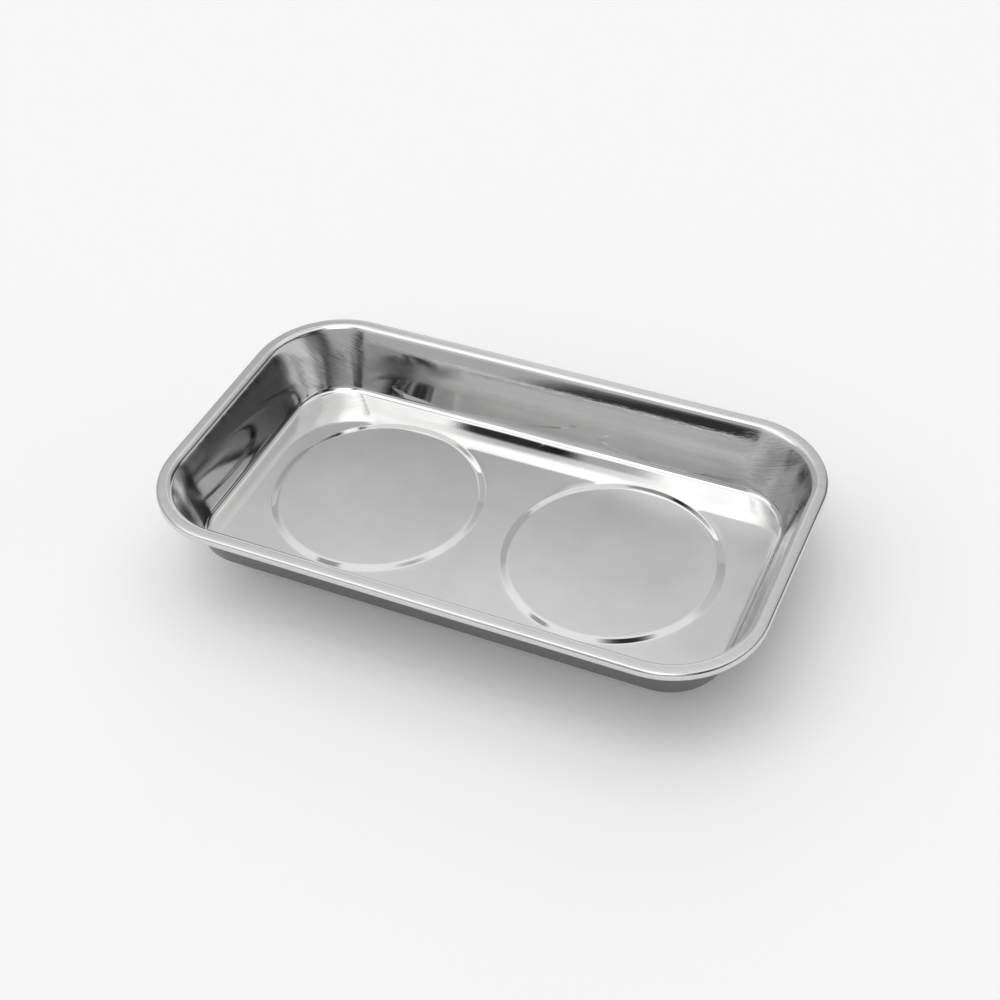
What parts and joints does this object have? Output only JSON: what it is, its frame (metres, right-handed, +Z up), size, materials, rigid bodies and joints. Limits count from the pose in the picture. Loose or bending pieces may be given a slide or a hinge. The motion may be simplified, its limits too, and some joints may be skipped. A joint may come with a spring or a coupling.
{
  "type": "magnetic parts tray",
  "caption": "Rectangular pressed steel tray with rounded corners, sloped walls and a rolled rim, on round rubber-booted ring magnets that grip steel and hold small parts.",
  "frame": {"origin": "on the resting plane of the boots, under the middle of the pan", "axes": "+X along the length, +Y across the width towards the back, +Z up out of the tray"},
  "size_m": [0.2414, 0.1396, 0.0408],
  "materials": {
    "pan_steel": "satin mill finish, drawn lines on the walls",
    "boot_rubber": "matte moulded rubber",
    "ferrite": "dull sintered ceramic",
    "zinc_plate": "bright zinc plate",
    "pad_foam": "closed-cell foam tape"
  },
  "bodies": {
    "root": {"tray_pan": "pan_steel", "left_weld_stud": "zinc_plate", "left_bonding_pad": "pad_foam", "left_ring_magnet": "ferrite", "left_rubber_boot": "boot_rubber", "left_retaining_cup": "zinc_plate", "left_lock_washer": "zinc_plate", "left_hex_nut": "zinc_plate", "right_weld_stud": "zinc_plate", "right_bonding_pad": "pad_foam", "right_ring_magnet": "ferrite", "right_rubber_boot": "boot_rubber", "right_retaining_cup": "zinc_plate", "right_lock_washer": "zinc_plate", "right_hex_nut": "zinc_plate"}
  },
  "joints": []
}
